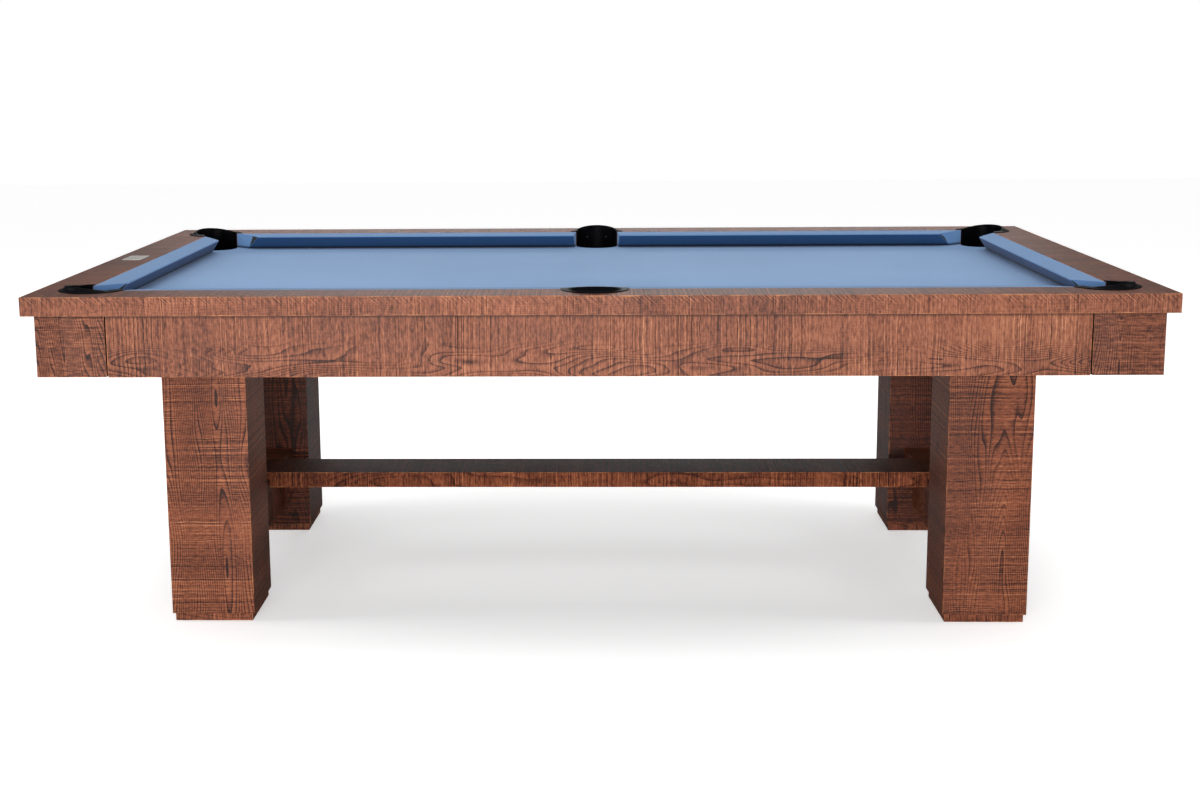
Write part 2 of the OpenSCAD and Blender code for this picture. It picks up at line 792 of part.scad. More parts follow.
// Screws through the edges of the cross-rail caps up into the stretcher
module stretcher_screw_places() {
    for (x = [-1, 1], y = [-1, 1]) both_ends() translate([
        leg_x + x * (cross_cap_w / 2 - stretcher_screw_in), y * stretcher_screw_y, cross_cap_z
    ]) children();
}
module frame_screws() {
    color("silver") {
        frame_screw_places() screw(frame_screw_r, beam_t + frame_screw_reach, 2 * small_head_t);
        stretcher_screw_places() screw(frame_screw_r, stretcher_screw_l, 2 * small_head_t);
    }
}

// ---- Legs ----

module leg() {
    color("sienna") translate([leg_x, leg_y, 0]) difference() {
        block([-leg_w / 2, -leg_w / 2, leg_bottom], [leg_w / 2, leg_w / 2, leg_top]);
        block(
            [-leg_hollow / 2, -leg_hollow / 2, leg_bottom - CUT],
            [leg_hollow / 2, leg_hollow / 2, leg_top + CUT]
        );
        translate([-leg_x, -leg_y, 0]) cross_bolt_places() translate([0, 0, -CUT])
            cylinder(r = cross_bolt_r + hole_gap, h = leg_board + 2 * CUT);
    }
}
module leg_front_left() at_end(false) at_side(false) leg();
module leg_front_right() at_end(true) at_side(false) leg();
module leg_back_left() at_end(false) at_side(true) leg();
module leg_back_right() at_end(true) at_side(true) leg();

// A block in the top of each leg takes the leg bolts, and one in the bottom the levelling screw
module leg_blocks() {
    half = leg_hollow / 2;
    color("burlywood") difference() {
        quarters() translate([leg_x, leg_y, 0]) {
            block([-half, -half, leg_top - leg_block_h], [half, half, leg_top]);
            difference() {
                block([-half, -half, leg_bottom], [half, half, leg_bottom + leg_block_h]);
                translate([0, 0, leg_bottom - CUT])
                    cylinder(r = screw_r + running_gap, h = leg_block_h + 2 * CUT);
            }
        }
        leg_bolt_places() translate([0, 0, -leg_block_h - CUT])
            cylinder(r = leg_bolt_r + hole_gap, h = leg_block_h + 2 * CUT);
    }
}
module leg_bolts() {
    color("silver") leg_bolt_places() translate([0, 0, beam_h - leg_bolt_sink]) {
        translate([0, 0, -leg_bolt_l]) cylinder(r = leg_bolt_r, h = leg_bolt_l);
        cylinder(r = 1.8 * leg_bolt_r, h = bolt_head_h, $fn = 6);
    }
}
// A square shoe under each leg, with a socket in which the foot of the screw turns
module shoe() {
    half = leg_w / 2 - shoe_inset;
    color("saddlebrown") translate([leg_x, leg_y, 0]) difference() {
        block([-half, -half, 0], [half, half, shoe_h]);
        translate([0, 0, shoe_h / 2]) cylinder(r = screw_r + running_gap, h = shoe_h);
    }
}
module shoe_front_left() at_end(false) at_side(false) shoe();
module shoe_front_right() at_end(true) at_side(false) shoe();
module shoe_back_left() at_end(false) at_side(true) shoe();
module shoe_back_right() at_end(true) at_side(true) shoe();

module level_screw() {
    foot = shoe_h / 2 + running_gap;
    color("silver") translate([leg_x, leg_y, foot]) cylinder(r = screw_r, h = shoe_h - foot + screw_l);
}
module level_screw_front_left() at_end(false) at_side(false) level_screw();
module level_screw_front_right() at_end(true) at_side(false) level_screw();
module level_screw_back_left() at_end(false) at_side(true) level_screw();
module level_screw_back_right() at_end(true) at_side(true) level_screw();

// ---- Stretcher ----

// Two bolts through the inner board of each leg into the panel of the cross rail
module cross_bolt_places() {
    for (rise = [1, 3]) quarters()
        translate([leg_x, leg_inner_y + leg_board, cross_panel_z + rise * cross_panel_h / 4])
            rotate([90, 0, 0]) children();
}
module cross_rail_caps() {
    half = cross_cap_w / 2;
    color("sienna") difference() {
        both_ends() block([leg_x - half, -leg_inner_y, cross_cap_z], [leg_x + half, leg_inner_y, cross_top]);
        stretcher_screw_places() translate([0, 0, -CUT])
            cylinder(r = frame_screw_r + hole_gap, h = cross_cap_t + 2 * CUT, $fn = 24);
    }
}
module cross_rail_panels() {
    half = cross_panel_t / 2;
    color("saddlebrown") difference() {
        both_ends()
            block([leg_x - half, -leg_inner_y, cross_panel_z], [leg_x + half, leg_inner_y, cross_cap_z]);
        cross_bolt_places() cylinder(r = cross_bolt_r + hole_gap, h = leg_board + cross_bolt_reach + CUT);
    }
}
module cross_rail_bolts() {
    color("silver") cross_bolt_places() bolt_up(cross_bolt_r, leg_board + cross_bolt_reach);
}
// The upper half of each end laps over a cross rail
module stretcher() {
    half = stretcher_w / 2;
    lap_x = leg_x + cross_cap_w / 2;
    color("saddlebrown") difference() {
        union() {
            block([-lap_end_x, -half, stretcher_z], [lap_end_x, half, cross_top]);
            block([-lap_x, -half, cross_top], [lap_x, half, cross_top + stretcher_t - stretcher_lap]);
        }
        stretcher_screw_places() translate([0, 0, -CUT])
            cylinder(r = frame_screw_r + hole_gap, h = stretcher_screw_l + 2 * CUT, $fn = 24);
    }
}

rail_cap_front();
rail_cap_back();
rail_cap_left();
rail_cap_right();
sub_rails();
cushion_rubbers();
cushion_facings();
feather_strips();
cushion_front_left();
cushion_front_right();
cushion_back_left();
cushion_back_right();
cushion_left();
cushion_right();
rail_bolts();
rail_nut_plates();
slate_left();
slate_middle();
slate_right();
slate_backing();
slate_screws();
bed_cloth();
pocket_front_left();
pocket_front_middle();
pocket_front_right();
pocket_back_left();
pocket_back_middle();
pocket_back_right();
small_screws();
blind_front();
blind_back();
blind_left();
blind_right();
blind_brackets();
corner_trim_front_left();
corner_trim_front_right();
corner_trim_back_left();
corner_trim_back_right();
corner_blocks();
frame_beams();
frame_screws();
leg_front_left();
leg_front_right();
leg_back_left();
leg_back_right();
leg_blocks();
leg_bolts();
shoe_front_left();
shoe_front_right();
shoe_back_left();
shoe_back_right();
level_screw_front_left();
level_screw_front_right();
level_screw_back_left();
level_screw_back_right();
cross_rail_caps();
cross_rail_panels();
cross_rail_bolts();
stretcher();
nameplate();
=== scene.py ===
"""The looks of the pool table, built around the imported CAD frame. Metres, X right, Y back, Z up."""

import math
from dataclasses import dataclass

import bmesh
import bpy
from mathutils import Matrix, Vector


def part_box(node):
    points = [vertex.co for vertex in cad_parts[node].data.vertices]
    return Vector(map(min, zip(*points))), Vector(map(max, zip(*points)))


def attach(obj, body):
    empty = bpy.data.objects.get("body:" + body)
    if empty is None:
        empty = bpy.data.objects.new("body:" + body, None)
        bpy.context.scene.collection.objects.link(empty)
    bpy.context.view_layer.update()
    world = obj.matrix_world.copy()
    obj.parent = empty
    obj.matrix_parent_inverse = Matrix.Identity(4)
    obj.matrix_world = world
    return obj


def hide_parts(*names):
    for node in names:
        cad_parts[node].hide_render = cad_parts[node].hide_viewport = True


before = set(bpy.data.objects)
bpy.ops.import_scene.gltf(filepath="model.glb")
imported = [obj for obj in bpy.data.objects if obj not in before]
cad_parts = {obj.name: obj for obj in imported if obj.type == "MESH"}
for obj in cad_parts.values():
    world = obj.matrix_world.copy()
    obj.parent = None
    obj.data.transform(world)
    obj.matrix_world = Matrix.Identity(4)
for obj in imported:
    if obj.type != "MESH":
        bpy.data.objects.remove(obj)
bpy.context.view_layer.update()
MM = 0.001

# ---------------------------------------------------------------- camera, lights and stage


CAMERA_PLACE = (0.0177, -4.2421, 1.3521)
PITCH, YAW, ROLL = 0.1646, 0.0291, -0.0078
LENS = 48.23
SENSOR = 36
LENS_SHIFT = (0.0362, -0.0601)


def make_camera():
    """In front of the table, near its middle and above its rails, looking slightly down."""
    right = Vector((math.cos(YAW), math.sin(YAW), 0))
    level = Vector((-math.sin(YAW), math.cos(YAW), 0))
    ahead = math.cos(PITCH) * level - Vector((0, 0, math.sin(PITCH)))
    up = right.cross(ahead)
    axis_x = right * math.cos(ROLL) + up * math.sin(ROLL)
    axis_y = up * math.cos(ROLL) - right * math.sin(ROLL)
    data = bpy.data.cameras.new("camera")
    data.sensor_width = SENSOR
    data.lens = LENS
    data.shift_x, data.shift_y = LENS_SHIFT
    camera = bpy.data.objects.new("camera", data)
    turn = Matrix((axis_x, axis_y, -ahead)).transposed().to_4x4()
    camera.matrix_world = Matrix.Translation(CAMERA_PLACE) @ turn
    bpy.context.scene.collection.objects.link(camera)
    bpy.context.scene.camera = camera


def make_light(name, place, target, size, power):
    """A soft rectangular light at a place, turned to face a target."""
    data = bpy.data.lights.new(name, "AREA")
    data.shape = "RECTANGLE"
    data.size, data.size_y = size
    data.energy = power
    lamp = bpy.data.objects.new(name, data)
    lamp.location = place
    lamp.rotation_euler = (Vector(target) - Vector(place)).to_track_quat("-Z", "Y").to_euler()
    bpy.context.scene.collection.objects.link(lamp)


# The lamps: name, place, target, width and height, and power in watts
LAMPS = (
    ("front", (-0.5, -5.0, 1.15), (0, 0, 0.6), (3.0, 1.2), 180),
    ("back", (0, 5.2, 2.6), (0, 0, 0.8), (5.0, 1.2), 65),
    ("left", (-4.6, -0.5, 2.6), (0, 0, 0.6), (1.2, 2.4), 55),
    ("right", (4.6, -0.5, 2.6), (0, 0, 0.6), (1.2, 2.4), 55),
)
SKY_LIGHT = 0.16
SKY_SEEN = 1.0
SUN_POWER = 1.3
SUN_ANGLE = 70
SUN_TILT = -6
FLOOR_HALF = 14
FLOOR_LIT = (0.45, 0.45, 0.45, 1)
FLOOR_SEEN = (0.97, 0.97, 0.97, 1)
FLOOR_GLOW = 0.43


def make_sky():
    """A dim sky that is white only to the eye, so that it is a plain backdrop."""
    world = bpy.data.worlds.new("studio")
    world.use_nodes = True
    tree = world.node_tree
    sky = tree.nodes["Background"]
    sky.inputs["Color"].default_value = (1, 1, 1, 1)
    rays = tree.nodes.new("ShaderNodeLightPath")
    level = tree.nodes.new("ShaderNodeMapRange")
    level.inputs["To Min"].default_value = SKY_LIGHT
    level.inputs["To Max"].default_value = SKY_SEEN
    tree.links.new(rays.outputs["Is Camera Ray"], level.inputs["Value"])
    tree.links.new(level.outputs[0], sky.inputs["Strength"])
    bpy.context.scene.world = world


def make_sun():
    """A broad soft light from overhead."""
    data = bpy.data.lights.new("overhead", "SUN")
    data.energy = SUN_POWER
    data.angle = math.radians(SUN_ANGLE)
    sun = bpy.data.objects.new("overhead", data)
    sun.rotation_euler = (math.radians(SUN_TILT), 0, 0)
    bpy.context.scene.collection.objects.link(sun)


def make_floor():
    """A floor that is pale to the eye, but throws little light up onto the table."""
    mesh = bpy.data.meshes.new("floor")
    signs = ((-1, -1), (1, -1), (1, 1), (-1, 1))
    mesh.from_pydata([(FLOOR_HALF * x, FLOOR_HALF * y, 0) for x, y in signs], [], [(0, 1, 2, 3)])
    floor = bpy.data.objects.new("floor", mesh)
    bpy.context.scene.collection.objects.link(floor)
    g = Graph("floor")
    seen = g.node("LightPath", output="Is Camera Ray")
    glow = g.math("MULTIPLY", seen, FLOOR_GLOW)
    g.finish(g.mix(seen, FLOOR_LIT, FLOOR_SEEN), roughness=0.9, glow=glow, Specular_IOR_Level=0.1)
    mesh.materials.append(g.material)


def make_studio():
    """The sky, the lamps and the floor."""
    bpy.context.scene.view_settings.view_transform = "Standard"
    make_sky()
    for lamp in LAMPS:
        make_light(*lamp)
    make_sun()
    make_floor()


# ---------------------------------------------------------------- material graphs


class Graph:
    """A material's node tree, with short calls for the nodes used here."""

    def __init__(self, name):
        self.material = bpy.data.materials.new(name)
        self.material.use_nodes = True
        self.tree = self.material.node_tree
        self.tree.nodes.clear()

    def node(self, kind, inputs=(), output=0, **settings):
        """Adds a node, sets or links its inputs, and returns one of its outputs."""
        made = self.tree.nodes.new("ShaderNode" + kind)
        for key, value in settings.items():
            setattr(made, key, value)
        for key, value in dict(inputs).items():
            self.feed(made.inputs[key], value)
        return made.outputs[output]

    def feed(self, socket, value):
        """Links a socket to an output, or sets it to a value unless that is None."""
        if isinstance(value, bpy.types.NodeSocket):
            self.tree.links.new(value, socket)
        elif value is not None:
            socket.default_value = value

    def math(self, operation, a, b=None, c=None):
        """One of Blender's operations on up to three numbers."""
        return self.node("Math", {0: a, 1: b, 2: c}, operation=operation)

    def sum(self, *terms):
        """The sum of (value, weight) pairs and plain numbers."""
        total = 0.0
        for term in terms:
            if isinstance(term, tuple):
                total = self.math("MULTIPLY_ADD", term[0], term[1], total)
            else:
                total = self.math("ADD", total, term)
        return total

    def place(self, origin=(0, 0, 0)):
        """The position in the row frame, from an origin."""
        here = self.node("TexCoord", output="Object")
        return self.node("VectorMath", {0: here, 1: origin}, operation="SUBTRACT")

    def parts(self, vector):
        """The X, Y and Z of a vector."""
        return [self.node("SeparateXYZ", {0: vector}, output=axis) for axis in range(3)]

    def stretch(self, vector, scale):
        """A vector times another, axis by axis."""
        return self.node("VectorMath", {0: vector, 1: scale}, operation="MULTIPLY")

    def noise(self, vector, scale=1.0, detail=2.0, rough=0.5):
        """Noise between about 0.3 and 0.7, with scale cells in a metre."""
        inputs = {"Vector": vector, "Scale": scale, "Detail": detail, "Roughness": rough}
        return self.node("TexNoise", inputs)

    def lines(self, along, scale, detail=1.0):
        """Noise that changes along one number only."""
        inputs = {"W": along, "Scale": scale, "Detail": detail}
        return self.node("TexNoise", inputs, noise_dimensions="1D")

    def band(self, value, low, high, to_low=0.0, to_high=1.0):
        """A smooth step from to_low to to_high while value goes from low to high."""
        inputs = {"Value": value, "From Min": low, "From Max": high}
        inputs.update({"To Min": to_low, "To Max": to_high})
        return self.node("MapRange", inputs, interpolation_type="SMOOTHSTEP")

    def ramp(self, value, stops):
        """A colour ramp of (place, colour) stops."""
        made = self.tree.nodes.new("ShaderNodeValToRGB")
        self.feed(made.inputs[0], value)
        elements = made.color_ramp.elements
        while len(elements) < len(stops):
            elements.new(0.5)
        for element, (place, colour) in zip(elements, stops):
            element.position = place
            element.color = (*colour, 1)
        return made.outputs[0]

    def mix(self, factor, a, b, blend="MIX"):
        """Colour a, blended with b as far as the factor."""
        made = self.tree.nodes.new("ShaderNodeMix")
        made.data_type = "RGBA"
        made.blend_type = blend
        self.feed(made.inputs[0], factor)
        self.feed(made.inputs[6], a)
        self.feed(made.inputs[7], b)
        return made.outputs[2]

    def darken(self, colour, share, where):
        """Multiplies a colour by a share, as far as where goes from 0 to 1."""
        darker = self.mix(1.0, colour, (share, share, share, 1), blend="MULTIPLY")
        return self.mix(where, colour, darker)

    def finish(self, colour, roughness=0.5, height=None, depth=MM, strength=1.0, glow=None, **shader):
        """The surface shader. height is a bump of the given depth in metres, glow is the
        strength of a white glow, and shader holds more sockets, with _ for each space."""
        made = self.tree.nodes.new("ShaderNodeBsdfPrincipled")
        self.feed(made.inputs["Base Color"], colour)
        self.feed(made.inputs["Roughness"], roughness)
        for key, value in shader.items():
            made.inputs[key.replace("_", " ")].default_value = value
        if glow is not None:
            made.inputs["Emission Color"].default_value = (1, 1, 1, 1)
            self.feed(made.inputs["Emission Strength"], glow)
        if height is not None:
            bump = self.node("Bump", {"Height": height, "Distance": depth, "Strength": strength})
            self.feed(made.inputs["Normal"], bump)
        out = self.tree.nodes.new("ShaderNodeOutputMaterial")
        self.feed(out.inputs["Surface"], made.outputs["BSDF"])
        return self.material


OAK_STOPS = (
    (0.0, (0.030, 0.012, 0.010)),
    (0.25, (0.105, 0.034, 0.021)),
    (0.5, (0.275, 0.091, 0.048)),
    (0.72, (0.430, 0.160, 0.084)),
    (1.0, (0.690, 0.320, 0.170)),
)
WORN = (0.68, 0.27, 0.105, 1)
# The colour of the painted shadow that a rail cap casts on the board below it
CAP_SHADOW_COLOUR = (0.012, 0.005, 0.004, 1)
KNOT = (0.012, 0.007, 0.006, 1)
RINGS_PER_METRE = 190.0
RING_WANDER = 16.0
# Noise scales along the board: fine and middling saw marks, broad bands, slanted strokes
FINE_SAW, MIDDLING_SAW, SAW_BANDS, CHATTER_SAW = 380.0, 120.0, 13.0, 230.0
SAW_SLANT = 0.06
CHATTER_SLANT = 1.1
JOINT_SHADE = 0.1


@dataclass
class Stain:
    """The look of one oak board."""

    # The middle of the growth rings in the two axes across the grain, in half sizes of the board
    heart: tuple = (0.3, -1.2)
    # A shift along the grain, so that no two boards are alike
    seed: float = 0.0
    # How much lighter the board is
    tone: float = 0.0
    # The strengths of the saw marks, of the growth rings and of short slanted strokes on top
    saw: float = 1.0
    figure: float = 1.0
    chatter: float = 0.0
    # How far the growth rings wander along the board, and how far from their heart they fade
    arch: float = 1.0
    reach: float = 9.0
    # What the stain is multiplied by all over, and the painted shade on the faces that look up
    tint: tuple = (1, 1, 1)
    top: float = 1.0
    # The specular level
    gloss: float = 0.28
    # The faces at an open joint, darkened as painted shade: the "ends" of the board, or those that
    # look "inside"
    joint: str = ""
    # Whether the board stands under a rail cap, and gets a painted shadow of the cap along its top
    under_cap: bool = False
    # The place of a small dark knot, if there is one
    knot: tuple = ()


class Board(Graph):
    """Rough-sawn, stained oak on one board, which fills the box of a CAD node."""

    def __init__(self, name, node, grain, stain):
        """grain is the axis of the grain."""
        super().__init__(name)
        low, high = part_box(node)
        self.centre, self.half = (low + high) / 2, (high - low) / 2
        self.grain = grain
        self.stain = stain
        spot = self.place(self.centre)
        self.axes = self.parts(spot)
        shift = self.by_grain(0.0, stain.seed)
        self.shifted = self.node("VectorMath", {0: spot, 1: shift}, operation="ADD")
        self.along = self.math("ADD", self.axes[grain], stain.seed)
        self.normal = self.parts(self.node("NewGeometry", output="Normal"))
        self.flecks = self.grained(70.0, 210.0, detail=3.0, rough=0.7)
        self.waver = self.grained(14.0, 14.0, detail=1.0)

    def by_grain(self, across, along):
        """Three numbers, of which that of the axis of the grain is along."""
        return [along if axis == self.grain else across for axis in range(3)]

    def grained(self, across, along, detail, rough=0.5):
        """Noise with one scale across the grain and one along it."""
        scaled = self.stretch(self.shifted, self.by_grain(across, along))
        return self.noise(scaled, detail=detail, rough=rough)

    def centred(self, value):
        """Noise made to vary about 0."""
        return self.sum((value, 1.0), -0.5)

    def growth_rings(self):
        """Rings round a heart, wandering along the board."""
        sides = [axis for axis in range(3) if axis != self.grain]
        squares = []
        for axis, share in zip(sides, self.stain.heart):
            off = self.math("SUBTRACT", self.axes[axis], share * self.half[axis])
            squares.append((self.math("POWER", off, 2.0), 1.0))
        radius = self.math("POWER", self.sum(*squares), 0.5)
        wander = self.grained(9.0, 1.6, detail=2.0)
        count = self.sum((radius, RINGS_PER_METRE), (wander, RING_WANDER * self.stain.arch))
        near = self.band(radius, 0.5 * self.stain.reach, self.stain.reach, 1.0, 0.12)
        return self.math("MULTIPLY", self.math("POWER", self.math("FRACT", count), 4.0), near)

    def saw_marks(self):
        """(cut, strokes, scars, bands) of saw marks across the grain, which lean one way and
        then the other."""
        side_a, side_b = [self.axes[axis] for axis in range(3) if axis != self.grain]
        lean = self.sum((self.lines(self.along, 2.3), 2.0 * SAW_SLANT), -SAW_SLANT)
        sideways = self.math("MULTIPLY", lean, self.sum((side_a, 0.8), (side_b, 0.6)))
        line = self.sum((self.along, 1.0), (sideways, 1.0), (self.waver, 0.006))
        fine = self.lines(line, FINE_SAW)
        middling = self.lines(line, MIDDLING_SAW, detail=2.0)
        bands = self.lines(line, SAW_BANDS, detail=2.0)
        patches = self.band(self.grained(9.0, 9.0, detail=3.0), 0.35, 0.62, 0.35, 1.3)
        cut = self.math("MULTIPLY", self.sum((fine, 1.25), (middling, 0.6), -0.925), patches)
        strokes = self.band(middling, 0.60, 0.72)
        scars = self.band(self.sum((middling, 1.0), (self.flecks, 0.35)), 0.55, 0.44)
        return cut, strokes, scars, bands

    def slanted_strokes(self):
        """Short strokes along the upper half of the board."""
        slanted = self.sum((self.along, 1.0), (self.axes[2], CHATTER_SLANT), (self.waver, 0.008))
        upper = self.band(self.axes[2], -0.1 * self.half.z, 0.6 * self.half.z)
        return self.math("MULTIPLY", upper, self.centred(self.lines(slanted, CHATTER_SAW)))

    def darkened(self, colour):
        """The colour with its dark places: painted shade on faces that look up and in open joints, a
        painted shadow under a rail cap, and a knot.
        """
        stain = self.stain
        # Painted shade: faces that look up are darkened by the top share
        colour = self.darken(colour, stain.top, self.band(self.normal[2], 0.6, 0.9))
        # Painted shade in an open joint: the faces that look into it are darkened
        if stain.joint:
            towards = self.math("ABSOLUTE", self.normal[self.grain])
            if stain.joint == "inside":
                signs = [-math.copysign(1, self.centre[axis]) for axis in (0, 1)]
                inwards = [self.math("MULTIPLY", self.normal[axis], signs[axis]) for axis in (0, 1)]
                towards = self.math("MAXIMUM", *inwards)
            colour = self.darken(colour, JOINT_SHADE, self.band(towards, 0.2, 0.5))
        # Painted shadow: the top of a board under a rail cap is darkened, standing in for the cap's
        # shadow
        if stain.under_cap:
            cap_shadow_mask = self.band(self.axes[2], self.half.z - 11 * MM, self.half.z - 5 * MM, 0.0, 0.6)
            colour = self.mix(cap_shadow_mask, colour, CAP_SHADOW_COLOUR)
        if stain.knot:
            offset = self.stretch(self.place(stain.knot), (0.4, 1, 1))
            away = self.node("VectorMath", {0: offset}, output=1, operation="LENGTH")
            ragged = self.sum((away, 1.0), (self.flecks, 0.004))
            colour = self.mix(self.band(ragged, 9 * MM, 5 * MM), colour, KNOT)
        return colour

    def rubbed(self, colour):
        """The colour with the stain rubbed through here and there along the board's edges."""
        gaps = [
            self.math("SUBTRACT", half, self.math("ABSOLUTE", axis))
            for half, axis in zip(self.half, self.axes)
        ]
        nearer = self.math("MINIMUM", gaps[0], gaps[1])
        further = self.math("MAXIMUM", gaps[0], gaps[1])
        edge = self.math("MAXIMUM", nearer, self.math("MINIMUM", further, gaps[2]))
        rub = self.grained(25.0, 25.0, detail=4.0, rough=0.7)
        worn = self.band(self.sum((edge, 1.0), (rub, -12 * MM)), -4.2 * MM, -7.5 * MM)
        return self.mix(self.math("MULTIPLY", worn, 0.7), colour, WORN)

    def build(self):
        """The finished material."""
        stain = self.stain
        ring = self.growth_rings()
        pores = self.band(self.grained(900.0, 55.0, detail=1.0), 0.55, 0.75)
        cut, strokes, scars, bands = self.saw_marks()
        clouds = self.grained(6.0, 1.7, detail=3.0, rough=0.55)
        where = self.band(self.grained(3.5, 3.5, detail=1.0), 0.40, 0.56, 0.4, 1.3)
        shade = self.sum(
            0.5 + stain.tone,
            (self.centred(clouds), 0.55),
            (cut, 0.72 * stain.saw),
            (self.centred(bands), 0.30 * stain.saw),
            (self.centred(self.flecks), 0.95),
            (self.math("MULTIPLY", ring, where), -0.24 * stain.figure),
            (pores, -0.08),
            (strokes, 0.06 * stain.saw),
            (scars, -0.07 * stain.saw),
            (self.slanted_strokes(), stain.chatter),
        )
        colour = self.mix(1.0, self.ramp(shade, OAK_STOPS), (*stain.tint, 1), blend="MULTIPLY")
        colour = self.rubbed(self.darkened(colour))
        relief = ((cut, 1.0), (ring, -0.25 * stain.figure), (pores, -0.3), (scars, -0.4))
        height = self.sum(*relief, (self.flecks, 0.4))
        rough = self.sum((clouds, 0.16), (cut, 0.12), 0.44)
        shader = {"Specular_IOR_Level": stain.gloss}
        return self.finish(colour, rough, height, depth=0.7 * MM, strength=0.8, **shader)


def inner_wood_shade():
    """Planed hardwood for what is inside the table, coloured near black as painted shade, so that the
    gaps into the table read dark.
    """
    g = Graph("inner_wood_shade")
    spot = g.place()
    streaks = g.noise(g.stretch(spot, (10.0, 90.0, 90.0)), detail=3.0)
    fine = g.noise(g.stretch(spot, (60.0, 700.0, 700.0)), detail=1.0)
    shade = g.sum((streaks, 0.8), (fine, 0.35), -0.1)
    # Painted shade: near-black browns, so that the inside of the table reads dark
    stops = ((0.2, (0.045, 0.025, 0.014)), (0.5, (0.085, 0.048, 0.027)), (0.8, (0.13, 0.078, 0.045)))
    colour = g.ramp(shade, stops)
    return g.finish(colour, 0.7, fine, depth=0.1 * MM, strength=0.5)


def slate_stone():
    """Honed grey slate with faint layers."""
    g = Graph("slate_stone")
    spot = g.place()
    layers = g.noise(g.stretch(spot, (5.0, 5.0, 300.0)), detail=4.0)
    grains = g.noise(spot, scale=500.0, detail=2.0)
    shade = g.sum((layers, 0.7), (grains, 0.4), -0.05)
    colour = g.ramp(shade, ((0.25, (0.055, 0.062, 0.072)), (0.75, (0.14, 0.15, 0.16))))
    return g.finish(colour, 0.55, grains, depth=0.08 * MM, strength=0.6)


def steel():
    """Zinc-plated steel, slightly uneven."""
    g = Graph("steel")
    blotches = g.noise(g.place(), scale=120.0, detail=3.0)
    colour = g.ramp(blotches, ((0.3, (0.50, 0.50, 0.50)), (0.7, (0.66, 0.66, 0.65))))
    return g.finish(colour, g.sum((blotches, 0.25), 0.25), Metallic=1.0)


def blacked_steel():
    """Blackened steel, for the small screws."""
    g = Graph("blacked_steel")
    blotches = g.noise(g.place(), scale=150.0, detail=3.0)
    colour = g.ramp(blotches, ((0.3, (0.006, 0.006, 0.006)), (0.7, (0.016, 0.016, 0.016))))
    return g.finish(colour, g.sum((blotches, 0.3), 0.3), Specular_IOR_Level=0.3)


def black_rubber():
    """Dull rubber, for the cushions and their facings."""
    g = Graph("black_rubber")
    grit = g.noise(g.place(), scale=900.0, detail=2.0)
    colour = g.ramp(grit, ((0.3, (0.018, 0.018, 0.018)), (0.7, (0.032, 0.031, 0.030))))
    return g.finish(colour, 0.8, grit, depth=0.05 * MM, strength=0.6)


def pocket_plastic():
    """Moulded black plastic with a fine grained surface."""
    g = Graph("pocket_plastic")
    spot = g.place()
    grained = g.node("TexVoronoi", {"Vector": spot, "Scale": 900.0})
    dust = g.noise(spot, scale=35.0, detail=4.0)
    colour = g.ramp(dust, ((0.35, (0.0012, 0.0012, 0.0018)), (0.75, (0.003, 0.003, 0.004))))
    rough = g.sum((dust, 0.16), 0.32)
    shader = {"Specular_IOR_Level": 0.03}
    return g.finish(colour, rough, grained, depth=0.04 * MM, strength=0.2, **shader)


def brushed_plate():
    """Brushed metal, for the blank plate: fine scratches along its length."""
    g = Graph("brushed_plate")
    spot = g.place()
    scratches = g.noise(g.stretch(spot, (2500.0, 60.0, 60.0)), detail=2.0)
    colour = g.ramp(scratches, ((0.3, (0.42, 0.40, 0.37)), (0.7, (0.62, 0.60, 0.56))))
    return g.finish(colour, g.sum((scratches, 0.3), 0.25), scratches, depth=0.02 * MM, Metallic=0.9)


# The pitch of the cloth's weave, and the colour of the painted shadow at the foot of a cushion
WEAVE = 0.9 * MM
CLOTH_FOOT_SHADOW = (0.006, 0.009, 0.015, 1)


def cloth(name, light, dark, painted_down_shade, foot=None):
    """Napped wool cloth: a fine weave under a fuzz of short fibres. The colour given for faces that
    look down is painted shade on them, and a painted shadow darkens the cloth just above the height
    foot."""
    g = Graph(name)
    spot = g.place()
    pitch = 2 * math.pi / WEAVE
    x, y, z = g.parts(spot)
    warp = g.math("SINE", g.math("MULTIPLY", x, pitch))
    weft = g.math("SINE", g.math("MULTIPLY", g.math("ADD", y, z), pitch))
    weave = g.math("MULTIPLY", warp, weft)
    fuzz = g.noise(g.stretch(spot, (1400.0, 2200.0, 2200.0)), detail=3.0, rough=0.7)
    flecks = g.noise(g.stretch(spot, (260.0, 420.0, 420.0)), detail=2.0, rough=0.6)
    clouds = g.noise(spot, scale=3.0, detail=3.0)
    shade = g.sum((fuzz, 0.45), (flecks, 0.45), (clouds, 0.25), (weave, 0.05), -0.08)
    colour = g.ramp(shade, ((0.25, dark), (0.8, light)))
    facing = g.parts(g.node("NewGeometry", output="Normal"))[2]
    # Painted shade: faces that look down take the darker colour
    colour = g.mix(g.band(facing, -0.05, -0.35), colour, (*painted_down_shade, 1))
    # Painted shadow along the foot of a cushion's face, just above the bed
    if foot:
        shaded = g.band(z, foot + 3 * MM, foot + 10 * MM, 0.8, 0.0)
        colour = g.mix(shaded, colour, CLOTH_FOOT_SHADOW)
    height = g.sum((fuzz, 0.7), (weave, 0.3))
    return g.finish(
        colour, 0.88, height, depth=0.25 * MM, strength=0.5,
        Sheen_Weight=0.12, Sheen_Roughness=0.4, Specular_IOR_Level=0.2,
    )


# ---------------------------------------------------------------- dimensions, from the frame

front_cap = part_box("rail_cap_front")
TOP = front_cap[1].z
BED = front_cap[0].z
